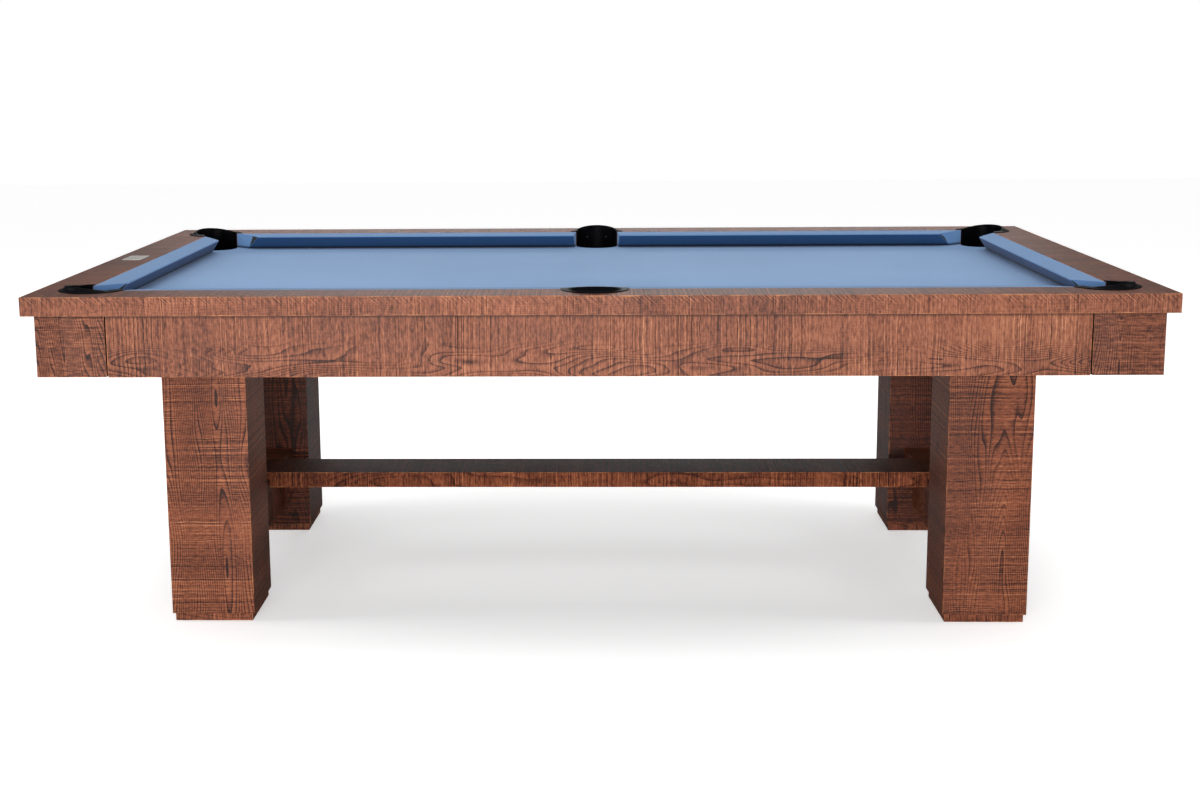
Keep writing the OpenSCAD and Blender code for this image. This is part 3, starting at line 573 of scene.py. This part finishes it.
# Half the length and half the width of the wood line, the nose line and the slates
WOOD = Vector((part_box("cushion_right")[1].x, -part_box("cushion_front_left")[0].y))
NOSE = Vector((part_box("cushion_right")[0].x, -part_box("cushion_front_left")[1].y))
SLATE = Vector((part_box("slate_right")[1].x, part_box("slate_right")[1].y))
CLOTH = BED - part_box("slate_middle")[1].z
CUSHION_W = WOOD.x - NOSE.x
CUSHION_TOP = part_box("cushion_right")[1].z - BED

# The pockets: their walls, their flanges on the rails, and their centres
WALL = 3 * MM
FLANGE_T = 3 * MM
LINER_R = 61 * MM
FLANGE_R = LINER_R + 18 * MM
CUT_R = LINER_R + 1 * MM
corner_low, corner_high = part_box("pocket_back_right")
POCKET_FLOOR = corner_low.z
CORNER = Vector((corner_high.x - FLANGE_R, corner_high.y - FLANGE_R))
SIDE_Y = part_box("pocket_back_middle")[1].y - FLANGE_R


# ---------------------------------------------------------------- mesh helpers


def link_mesh(name, mesh, material):
    """A new object of the scene with one material."""
    made = bpy.data.objects.new(name, mesh)
    bpy.context.scene.collection.objects.link(made)
    mesh.materials.append(material)
    return made


def apply_modifiers(obj):
    """Replaces an object's mesh with what its modifiers make of it."""
    bpy.context.view_layer.update()
    seen = obj.evaluated_get(bpy.context.evaluated_depsgraph_get())
    mesh = bpy.data.meshes.new_from_object(seen)
    obj.modifiers.clear()
    obj.data = mesh


def smooth(obj, angle):
    """Smooth shading, apart from edges sharper than an angle in degrees."""
    for face in obj.data.polygons:
        face.use_smooth = True
    obj.data.set_sharp_from_angle(angle=math.radians(angle))


def mesh_of(bm, name):
    """A mesh with the faces of a bmesh, which is freed."""
    mesh = bpy.data.meshes.new(name)
    bm.to_mesh(mesh)
    bm.free()
    return mesh


def closed_mesh(bm, name):
    """A mesh with the faces of a closed bmesh, turned outwards."""
    bmesh.ops.recalc_face_normals(bm, faces=bm.faces)
    return mesh_of(bm, name)


def thicken(obj, thickness):
    """Gives a skin a thickness on its inner side."""
    shell = obj.modifiers.new("thickness", "SOLIDIFY")
    shell.thickness = thickness
    shell.offset = -1
    apply_modifiers(obj)


def stand_for(obj, node):
    """Puts a mesh in the place of a CAD node of the table."""
    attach(obj, "table")
    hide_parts(node)


WELD = 0.02 * MM


def soften(node, width):
    """Rounds the edges of a CAD node with modifiers, and leaves its mesh alone."""
    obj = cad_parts[node]
    weld = obj.modifiers.new("weld", "WELD")
    weld.merge_threshold = WELD
    bevel = obj.modifiers.new("round", "BEVEL")
    bevel.width = width
    bevel.segments = 3
    bevel.limit_method = "ANGLE"
    bevel.angle_limit = math.radians(50)
    bevel.use_clamp_overlap = True
    bevel.harden_normals = True


def paint(node, material):
    """Puts a material on a CAD node."""
    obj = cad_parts[node]
    obj.data.materials.clear()
    obj.data.materials.append(material)


# ---------------------------------------------------------------- cushions


# The section of a cushion, in millimetres out from the nose line and up from the bed: both
# ends of its face, and the middle and radius of its nose
FACE_FOOT = (28.0, 1.2)
FACE_TOP = (1.4, 34.0)
NOSE_UP = 36.4
NOSE_R = 2.6
FACE_STEPS = 6
TOP_STEPS = 12
# How far the top is crowned, and the radius of the cloth's fold at the ends of a cushion
CROWN = 0.35 * MM
FOLD = 0.9 * MM
# The backmost points lie just inside the wood line
BACK_GAP = 0.1 * MM


def cushion_profile():
    """(distance out from the nose line, height above the bed) of points along a cushion: up
    its face, round its nose and back over its top."""
    face_foot, face_top = Vector(FACE_FOOT) * MM, Vector(FACE_TOP) * MM
    points = [face_foot.lerp(face_top, step / FACE_STEPS) for step in range(FACE_STEPS + 1)]
    middle = Vector((NOSE_R, NOSE_UP)) * MM
    for degrees in range(200, 94, -15):
        turn = math.radians(degrees)
        points.append(middle + NOSE_R * MM * Vector((math.cos(turn), math.sin(turn))))
    top_low = points[-1]
    top_high = Vector((CUSHION_W - 1.2 * MM, CUSHION_TOP))
    for step in range(1, TOP_STEPS + 1):
        share = step / TOP_STEPS
        crown = CROWN * math.sin(math.pi * share)
        points.append(top_low.lerp(top_high, share) + Vector((0, crown)))
    points.append(Vector((CUSHION_W - 0.3 * MM, CUSHION_TOP - 0.5 * MM)))
    points.append(Vector((CUSHION_W - BACK_GAP, CUSHION_TOP - 2.0 * MM)))
    return points


def profile_normals(points):
    """The outward normal at each point of a profile that runs up and then back."""
    found = []
    for index in range(len(points)):
        ahead = points[min(index + 1, len(points) - 1)] - points[max(index - 1, 0)]
        found.append(Vector((-ahead.y, ahead.x)).normalized())
    return found


def cushion_stations():
    """(share of the way between the folds, distance from the end or None, how far the skin is
    drawn in) along a cushion: a quarter round at both ends and even steps between them."""
    spans = 90
    turns = [math.radians(degrees) for degrees in (0, 25, 50, 75, 90)]
    start = [(0.0, FOLD * (1 - math.cos(a)), FOLD * (1 - math.sin(a))) for a in turns]
    middle = [(step / spans, None, 0.0) for step in range(1, spans)]
    return start + middle + [(1.0, back, inset) for _, back, inset in reversed(start)]


def cushion(node, material, start, start_slant, stop, stop_slant, place):
    """A cushion's cloth: a skin with rounded ends over the rubber.

    start and stop are the ends on the wood line, the slants lean the ends outwards from there
    to the nose, and place turns (along, out, up) into a point of the row frame."""
    name = node + "_cloth"
    points = cushion_profile()
    normals = profile_normals(points)
    bm = bmesh.new()
    rows = []
    for share, back, inset in cushion_stations():
        row = []
        for (out, up), normal in zip(points, normals):
            inner = CUSHION_W - out
            first = start + inner * math.tan(start_slant)
            last = stop - inner * math.tan(stop_slant)
            if back is None:
                along = first + FOLD + (last - first - 2 * FOLD) * share
            elif share == 0.0:
                along = first + back
            else:
                along = last - back
            # The foot of the face stays on the bed cloth
            shrink = inset if up > 3 * MM else 0.0
            row.append(bm.verts.new(place(along, out - normal.x * shrink, up - normal.y * shrink)))
        rows.append(row)
    for one, other in zip(rows, rows[1:]):
        for index in range(len(points) - 1):
            bm.faces.new((one[index], one[index + 1], other[index + 1], other[index]))
    # The back and the bottom close the form while its normals are turned outwards
    corners = [bm.verts.new(place(end, CUSHION_W - BACK_GAP, 1.2 * MM)) for end in (start, stop)]
    for row, corner in zip((rows[0], rows[-1]), corners):
        bm.faces.new(row + [corner])
    open_sides = [bm.faces.new([row[edge] for row in rows] + corners[::-1]) for edge in (0, -1)]
    bmesh.ops.recalc_face_normals(bm, faces=bm.faces)
    bmesh.ops.delete(bm, geom=open_sides, context="FACES_ONLY")
    made = link_mesh(name, mesh_of(bm, name), material)
    thicken(made, 0.85 * CLOTH)
    smooth(made, 60)
    stand_for(made, node)


CORNER_SLANT, SIDE_SLANT = math.radians(52), math.radians(6)
FACING_GAP = 0.4 * MM


def make_cushions(material):
    """Four long cushions, from a side pocket to a corner, and one across each end."""
    side_end = CUT_R + FACING_GAP
    corner_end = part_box("cushion_front_right")[1].x
    across_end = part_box("cushion_right")[1].y
    for end, right in (("left", -1), ("right", 1)):
        for side, back in (("front", -1), ("back", 1)):
            cushion(
                f"cushion_{side}_{end}", material, side_end, SIDE_SLANT, corner_end, CORNER_SLANT,
                lambda a, o, u, r=right, b=back: (r * a, b * (NOSE.y + o), BED + u),
            )
        cushion(
            f"cushion_{end}", material, -across_end, CORNER_SLANT, across_end, CORNER_SLANT,
            lambda a, o, u, r=right: (r * (NOSE.x + o), a, BED + u),
        )


# ---------------------------------------------------------------- bed cloth


def arc(centre, radius, start, stop, steps):
    """Points on an arc, by angles in degrees."""
    found = []
    for step in range(steps + 1):
        turn = math.radians(start + (stop - start) * step / steps)
        found.append(Vector(centre) + radius * Vector((math.cos(turn), math.sin(turn))))
    return found


def bed_outline(radius):
    """The plan of the bed, anticlockwise: six cuts round the pockets, joined by the edges of
    the slates. Each cut is a list of points."""
    first = 180 - math.degrees(math.asin((SLATE.y - CORNER.y) / radius))
    last = 360 - math.degrees(math.acos((SLATE.x - CORNER.x) / radius))
    corner = arc(CORNER, radius, first, last, 26)
    rise = math.degrees(math.asin((SLATE.y - SIDE_Y) / radius))
    side = arc((0, SIDE_Y), radius, rise, -180 - rise, 34)
    return [
        [Vector((x * p.x, y * p.y)) for p in cut]
        for x, y, cut in (
            (1, 1, corner[::-1]), (1, 1, side), (-1, 1, corner),
            (-1, -1, corner[::-1]), (-1, -1, side), (1, -1, corner),
        )
    ]


def make_bed_cloth(material):
    """The cloth lies flat on the slates and turns down into the gap round each liner."""
    skirt = LINER_R + 0.15 * MM
    # (radius of the cuts, depth under the top of the cloth) from the flat down the skirt
    levels = (
        (skirt + 1.2 * MM, 0), (skirt + 0.4 * MM, 0.3 * MM), (skirt, 1.1 * MM), (skirt, 14 * MM),
    )
    bm = bmesh.new()
    rings = [
        [[bm.verts.new((p.x, p.y, BED - drop)) for p in cut] for cut in bed_outline(radius)]
        for radius, drop in levels
    ]
    top = bm.faces.new([vert for cut in rings[0] for vert in cut])
    for upper, lower in zip(rings, rings[1:]):
        for one, other in zip(upper, lower):
            for index in range(len(one) - 1):
                bm.faces.new((one[index + 1], one[index], other[index], other[index + 1]))
    top.normal_update()
    bmesh.ops.triangulate(bm, faces=[top])
    bmesh.ops.recalc_face_normals(bm, faces=bm.faces)
    if max(bm.faces, key=lambda face: face.calc_area()).normal.z < 0:
        bmesh.ops.reverse_faces(bm, faces=bm.faces)
    area = sum(face.calc_area() for face in bm.faces)
    sheet = link_mesh("bed_cloth_sheet", mesh_of(bm, "bed_cloth_sheet"), material)
    thicken(sheet, 0.8 * CLOTH)
    smooth(sheet, 50)
    stand_for(sheet, "bed_cloth")


# ---------------------------------------------------------------- pockets


def quarter(radius, low, curve, degrees):
    """(radius, height) points round the lower corner of a cup, by angles from its floor."""
    found = []
    for angle in degrees:
        turn = math.radians(angle)
        found.append((radius - curve + curve * math.sin(turn), low + curve * (1 - math.cos(turn))))
    return found


# The radius of the corner at the floor of a liner, and the height of its collar over the rail
# at the sides of the mouth and at the back
CUP_CURVE = 8 * MM
COLLAR_LOW, COLLAR_HIGH = 3.6 * MM, 14 * MM
# Places on the collar: the shares of its fall to the flange, and its start and width
COLLAR_FALL = (0.3, 0.6, 0.85, 1.0)
COLLAR_START, COLLAR_W = 4.4 * MM, 9.0 * MM
BELOW = 30 * MM
TURN = (0, 30, 60, 90)


def liner_section(back):
    """(radius, height) points round the wall of a liner, from the middle of its floor up the
    inside, over the collar and the flange, and down the outside. back is 1 at the back of
    the mouth and 0 at its sides."""
    inner = LINER_R - WALL
    lip = TOP + COLLAR_LOW + (COLLAR_HIGH - COLLAR_LOW) * back
    rim = TOP + FLANGE_T
    walls = (BED - BELOW, BED - MM, BED + MM, TOP)
    points = [(0, POCKET_FLOOR + WALL)]
    points += quarter(inner, POCKET_FLOOR + WALL, CUP_CURVE, TURN)
    points += [(inner, height) for height in walls]
    # The lip, rounded on both sides
    points += [(inner + 0.3 * MM, lip - 2.4 * MM), (inner + 1.1 * MM, lip - 0.7 * MM)]
    points += [(inner + 2.6 * MM, lip), (inner + COLLAR_START, lip - 0.5 * MM)]
    for share in COLLAR_FALL:
        fall = (lip - 0.2 * MM - rim) * math.sin(share * math.pi / 2) ** 1.3
        points.append((inner + COLLAR_START + COLLAR_W * share, lip - 0.5 * MM - fall))
    # The flange, with a rounded edge
    points += [(FLANGE_R - 4 * MM, rim - 0.7 * MM), (FLANGE_R - 1.6 * MM, rim - 1.1 * MM)]
    points += [(FLANGE_R - 0.4 * MM, rim - 1.9 * MM), (FLANGE_R, TOP + 0.5 * MM)]
    points += [(FLANGE_R - 0.4 * MM, TOP)]
    points += [(LINER_R, height) for height in reversed(walls)]
    points += quarter(LINER_R, POCKET_FLOOR, CUP_CURVE, TURN[::-1])
    points.append((0, POCKET_FLOOR))
    return points


def liner_mesh(name, centre, facing):
    """A liner round a centre, with its collar highest at the angle facing."""
    steps = 120
    bm = bmesh.new()
    columns = []
    flat = liner_section(0)
    ends = [bm.verts.new((centre[0], centre[1], flat[index][1])) for index in (0, -1)]
    for step in range(steps):
        turn = 2 * math.pi * step / steps
        across, up = math.cos(turn), math.sin(turn)
        section = liner_section(max(0.0, math.cos(turn - math.radians(facing))) ** 1.2)
        column = [ends[0]]
        for radius, height in section[1:-1]:
            place = (centre[0] + radius * across, centre[1] + radius * up, height)
            column.append(bm.verts.new(place))
        columns.append(column + [ends[1]])
    for one, other in zip(columns, columns[1:] + columns[:1]):
        for index in range(len(flat) - 1):
            corners = (one[index], other[index], other[index + 1], one[index + 1])
            bm.faces.new(list(dict.fromkeys(corners)))
    return closed_mesh(bm, name)


def opening_mesh(centre):
    """The block that opens a liner towards the field, from the bed up."""
    far = 4 * FLANGE_R
    low = Vector((centre[0] - far, centre[1] - far, BED))
    high = Vector((WOOD.x if centre[0] else far, WOOD.y, TOP + far))
    bm = bmesh.new()
    bmesh.ops.create_cube(bm, size=1)
    for vert in bm.verts:
        vert.co = Vector([low[k] + (vert.co[k] + 0.5) * (high[k] - low[k]) for k in range(3)])
    return closed_mesh(bm, "opening")


def make_pocket(node, centre, facing, mirror, material):
    """A moulded liner round a centre. facing is the angle of the back of its mouth before it
    is mirrored in X and Y. Above the bed it is open up to the wood line."""
    name = node + "_liner"
    made = link_mesh(name, liner_mesh(name, centre, facing), material)
    tool = link_mesh("opening", opening_mesh(centre), material)
    cut = made.modifiers.new("opening", "BOOLEAN")
    cut.operation = "DIFFERENCE"
    cut.solver = "EXACT"
    cut.object = tool
    bevel = made.modifiers.new("round", "BEVEL")
    bevel.width = 0.7 * MM
    bevel.segments = 2
    bevel.limit_method = "ANGLE"
    bevel.angle_limit = math.radians(60)
    apply_modifiers(made)
    bpy.data.objects.remove(tool)
    for vert in made.data.vertices:
        vert.co.x *= mirror[0]
        vert.co.y *= mirror[1]
    if mirror[0] * mirror[1] < 0:
        made.data.flip_normals()
    smooth(made, 42)
    stand_for(made, node)


def make_pockets(material):
    """A pocket in the middle of each long side and one at each corner."""
    for side, y in (("front", -1), ("back", 1)):
        make_pocket(f"pocket_{side}_middle", (0, SIDE_Y), 90, (1, y), material)
        for end, x in (("left", -1), ("right", 1)):
            make_pocket(f"pocket_{side}_{end}", tuple(CORNER), 45, (x, y), material)


# ---------------------------------------------------------------- nameplate


PLATE_CORNER = 4 * MM
# How deep the plate's middle is sunk, and the distance of the pins from its ends
SUNK = 0.3 * MM
PIN_IN = 8 * MM
PIN_R = 2 * MM


def make_nameplate(material):
    """A blank plate with round corners, a sunk middle and a pin at each end."""
    low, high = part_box("nameplate")
    middle, half = (low + high) / 2, (high - low) / 2
    # (distance in from the outline, height) from the foot of the plate to its middle
    levels = (
        (0, low.z), (0, high.z - 0.4 * MM), (0.4 * MM, high.z), (2.2 * MM, high.z),
        (2.5 * MM, high.z - SUNK),
    )
    bm = bmesh.new()
    loops = []
    for inset, height in levels:
        loop = []
        for index, (x, y) in enumerate(((1, 1), (-1, 1), (-1, -1), (1, -1))):
            centre = (middle.x + x * (half.x - PLATE_CORNER), middle.y + y * (half.y - PLATE_CORNER))
            for p in arc(centre, PLATE_CORNER - inset, 90 * index, 90 * index + 90, 6):
                loop.append(bm.verts.new((p.x, p.y, height)))
        loops.append(loop)
    for one, other in zip(loops, loops[1:]):
        for index in range(len(one)):
            after = (index + 1) % len(one)
            bm.faces.new((one[index], one[after], other[after], other[index]))
    bm.faces.new(loops[0][::-1])
    bm.faces.new(loops[-1])
    flat = Matrix.Diagonal((1, 1, 0.35, 1))
    for end in (-1, 1):
        spot = Matrix.Translation((middle.x, middle.y + end * (half.y - PIN_IN), high.z - SUNK))
        bmesh.ops.create_uvsphere(bm, u_segments=20, v_segments=10, radius=PIN_R, matrix=spot @ flat)
    made = link_mesh("nameplate_blank", closed_mesh(bm, "nameplate_blank"), material)
    smooth(made, 30)
    stand_for(made, "nameplate")


# ---------------------------------------------------------------- build

make_camera()
make_studio()

# The cushion cloth is the bed cloth made darker: the difference is painted shade
blue = cloth("cushion_cloth", (0.182, 0.338, 0.598), (0.117, 0.230, 0.438), (0.034, 0.094, 0.215), BED)
bed_blue = cloth("bed_cloth", (0.295, 0.466, 0.752), (0.178, 0.318, 0.545), (0.05, 0.1, 0.2))
make_cushions(blue)
make_bed_cloth(bed_blue)
make_pockets(pocket_plastic())
make_nameplate(brushed_plate())

# The stain of the legs and the stretcher is redder than that of the rails. The back legs are darker
# still, which is painted shade.
DEEP = (0.92, 0.80, 0.70)
BACK_LEG_SHADE = (0.82, 0.60, 0.46)
# The axis of the grain of the boards along each side
ALONG = {"front": 0, "back": 0, "left": 1, "right": 1}
# The top values of the caps are painted shade on their upper faces
CAPS = {
    "front": dict(heart=(0.2, -3.0), seed=1.0, tone=-0.05, top=0.6, saw=0.6, chatter=0.9,
                  knot=(0.118, -0.633, TOP)),
    "back": dict(heart=(-0.4, -3.0), seed=9.0, top=0.6),
    "left": dict(heart=(0.3, -3.0), seed=5.0, top=0.48),
    "right": dict(heart=(0.1, -3.0), seed=13.0, top=0.48),
}
BLINDS = {
    "front": dict(heart=(1.5, -0.55), seed=0.0),
    "back": dict(heart=(1.5, -0.55), seed=6.0),
    "left": dict(heart=(1.5, -0.4), seed=2.0),
    "right": dict(heart=(1.5, -0.4), seed=9.0),
}
BLIND = dict(figure=1.7, arch=2.5, reach=0.06, joint="ends", saw=0.85, under_cap=True)
TRIM = dict(heart=(-0.2, -1.1), saw=0.45, figure=2.0, arch=2.5, under_cap=True, joint="inside")
# Lighter or darker legs; the -0.17 of the back legs is painted shade
LEG_TONES_AND_SHADE = {"leg_front_left": 0.04, "leg_front_right": -0.01, "leg_back_left": -0.17,
             "leg_back_right": -0.17}
CAP_ROUND = 3 * MM


def board(node, grain, width=1.6 * MM, **look):
    """Stains a CAD node as an oak board and rounds its edges."""
    paint(node, Board("oak_" + node, node, grain, Stain(**look)).build())
    soften(node, width)


for side, grain in ALONG.items():
    board(f"rail_cap_{side}", grain, width=CAP_ROUND, figure=0.4, **CAPS[side])
    board(f"blind_{side}", grain, **BLIND, **BLINDS[side])
corners = [(side, end) for end in ("left", "right") for side in ("front", "back")]
for index, (side, end) in enumerate(corners):
    corner = f"{side}_{end}"
    leg = "leg_" + corner
    # Painted shade: the back legs take a darker tint and tone
    board(leg, 2, heart=(0.4, -1.3), seed=3.0 * index + 1.3, tone=LEG_TONES_AND_SHADE[leg], figure=2.3, arch=1.6,
          tint=BACK_LEG_SHADE if side == "back" else DEEP)
    board("shoe_" + corner, 0, heart=(0.4, -3.0), seed=2.0 * index, tone=-0.03, tint=DEEP)
    board("corner_trim_" + corner, 2, seed=4.0 * index, tone=-0.07 if end == "left" else -0.04, **TRIM)
# Painted shade: the tops of the cross rails and of the stretcher, under the table, are darkened
for node in ("cross_rail_caps", "cross_rail_panels"):
    board(node, 1, seed=2.5, tone=-0.1, tint=DEEP, top=0.5, gloss=0.1)
board("stretcher", 0, seed=3.5, tone=-0.06, tint=DEEP, top=0.28, gloss=0.06)

INSIDE = (
    (inner_wood_shade(), ("sub_rails", "feather_strips", "slate_backing", "corner_blocks", "frame_beams",
                    "leg_blocks")),
    (slate_stone(), ("slate_left", "slate_middle", "slate_right")),
    (black_rubber(), ("cushion_rubbers", "cushion_facings")),
    (blacked_steel(), ("small_screws",)),
    (steel(), ("rail_bolts", "rail_nut_plates", "slate_screws", "blind_brackets", "frame_screws",
               "leg_bolts", "cross_rail_bolts", *(f"level_screw_{s}_{e}" for s, e in corners))),
)
for material, nodes in INSIDE:
    for node in nodes:
        paint(node, material)
